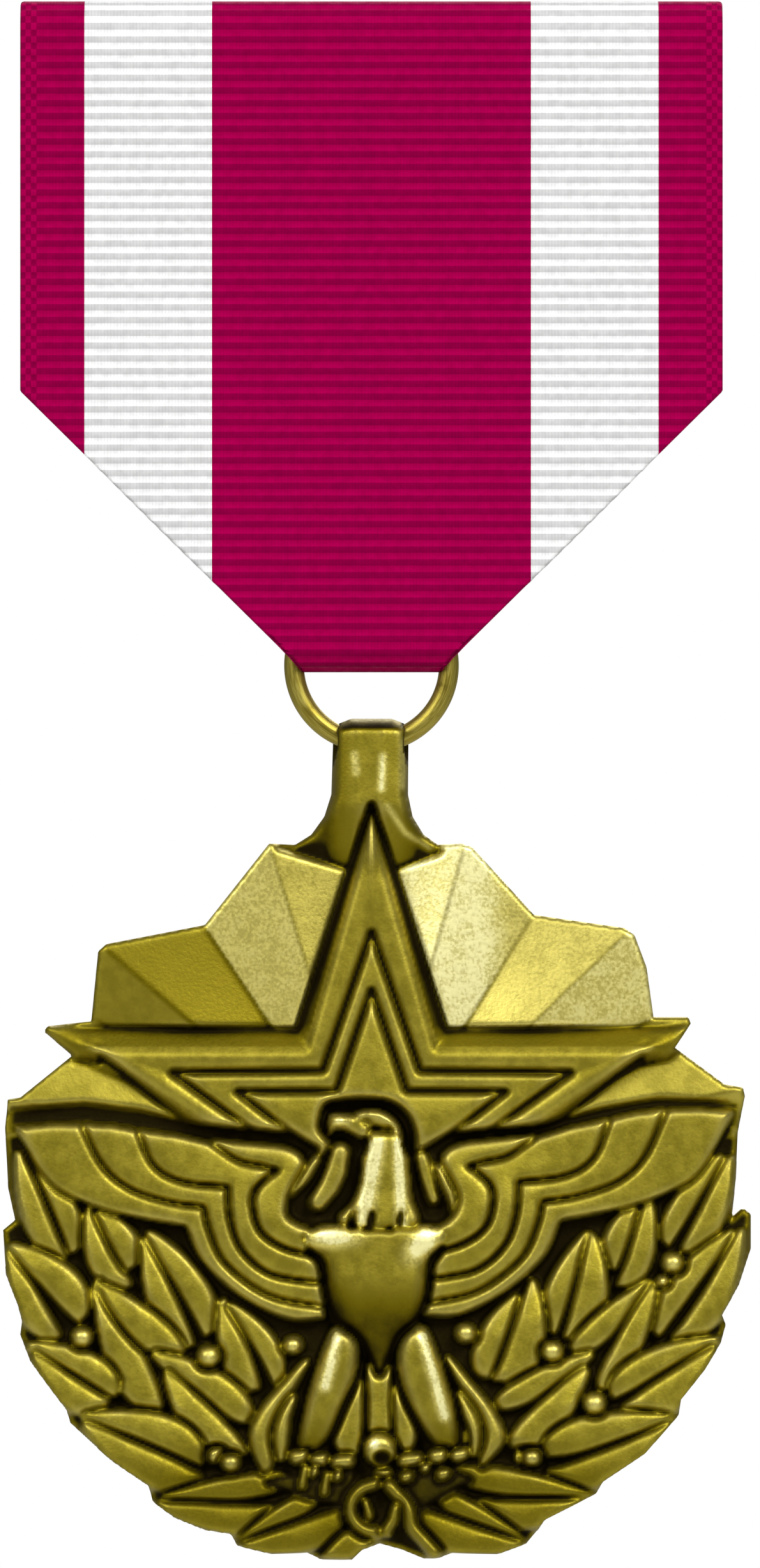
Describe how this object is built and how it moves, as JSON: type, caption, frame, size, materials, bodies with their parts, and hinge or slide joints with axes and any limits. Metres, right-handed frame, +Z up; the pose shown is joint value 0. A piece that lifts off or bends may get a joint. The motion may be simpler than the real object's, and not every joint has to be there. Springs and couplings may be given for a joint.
{
  "type": "military service medal",
  "caption": "Struck bronze pendant with a star, rays, an eagle and a laurel wreath, hung by a wire ring from a pointed striped ribbon on a pin brooch.",
  "frame": {"origin": "middle of the flat back of the brooch's folded hem, the strip that rests against the wearer's cloth", "axes": "+Z up as worn, along the medal's length; the medal faces -Y, so +Y points back to the wearer; +X is the viewer's right"},
  "size_m": [0.0372, 0.007, 0.0775],
  "materials": {
    "brooch_brass": "dull stamped brass",
    "pin_steel": "drawn steel",
    "ribbon_cloth": "ribbed silk weave, ruby with two white stripes",
    "aged_bronze": "oxidised bronze, dark in the recesses, rubbed bright on the relief"
  },
  "bodies": {
    "brooch": {"brooch_plate": "brooch_brass", "pin_hinge_bracket": "brooch_brass", "pin_hinge_rivet": "pin_steel", "catch_housing": "brooch_brass"},
    "pin": {"pin_stem": "pin_steel"},
    "catch": {"catch_rotor": "brooch_brass"},
    "ribbon": {"ribbon": "ribbon_cloth"},
    "ring": {"suspension_ring": "aged_bronze"},
    "pendant": {"pendant": "aged_bronze"}
  },
  "joints": [
    {"name": "ribbon_swing", "type": "hinge", "parent": "brooch", "child": "ribbon", "pos_m": [0, -0.00197, 0.01015], "axis": [1, 0, 0], "range_deg": [-90, 0]},
    {"name": "ring_tilt", "type": "hinge", "parent": "ribbon", "child": "ring", "pos_m": [0, -0.00189, -0.02109], "axis": [1, 0, 0], "range_deg": [-6, 6]},
    {"name": "pendant_swing", "type": "hinge", "parent": "ring", "child": "pendant", "pos_m": [0, -0.00189, -0.02521], "axis": [1, 0, 0], "range_deg": [-90, 90]},
    {"name": "pin_swing", "type": "hinge", "parent": "brooch", "child": "pin", "pos_m": [-0.0125, 0.0016, 0.0042], "axis": [0, 0, 1], "range_deg": [0, 100]},
    {"name": "catch_turn", "type": "hinge", "parent": "brooch", "child": "catch", "pos_m": [0.0125, 0.0016, 0.0042], "axis": [1, 0, 0], "range_deg": [0, 105]}
  ]
}
